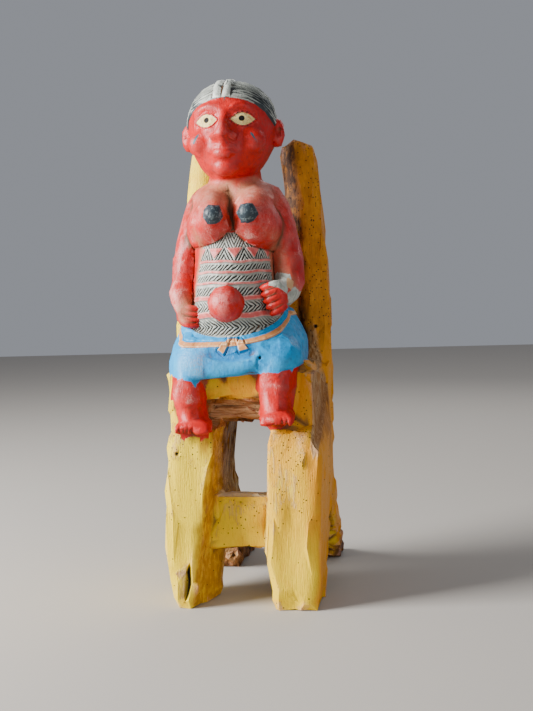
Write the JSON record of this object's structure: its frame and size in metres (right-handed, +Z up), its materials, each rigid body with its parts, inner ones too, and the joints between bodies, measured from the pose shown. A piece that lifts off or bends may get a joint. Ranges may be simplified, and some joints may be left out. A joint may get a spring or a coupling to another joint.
{
  "type": "carved maternity figure on a chair",
  "caption": "Painted wooden carving of a seated pregnant woman in a wrapper, holding her belly, on a high-posted chair carved from the same block.",
  "frame": {"origin": "middle of the bounding box, on the ground under the chair's feet", "axes": "+Z up, the figure faces -Y, +X to the right of someone looking at her face"},
  "size_m": [0.185, 0.268, 0.5725],
  "materials": {
    "painted_wood": "hand painted in red, yellow, sky blue and grey-black gloss paint, worn through to bare wood"
  },
  "bodies": {
    "root": {"maternity_figure_on_chair": "painted_wood"}
  },
  "joints": []
}
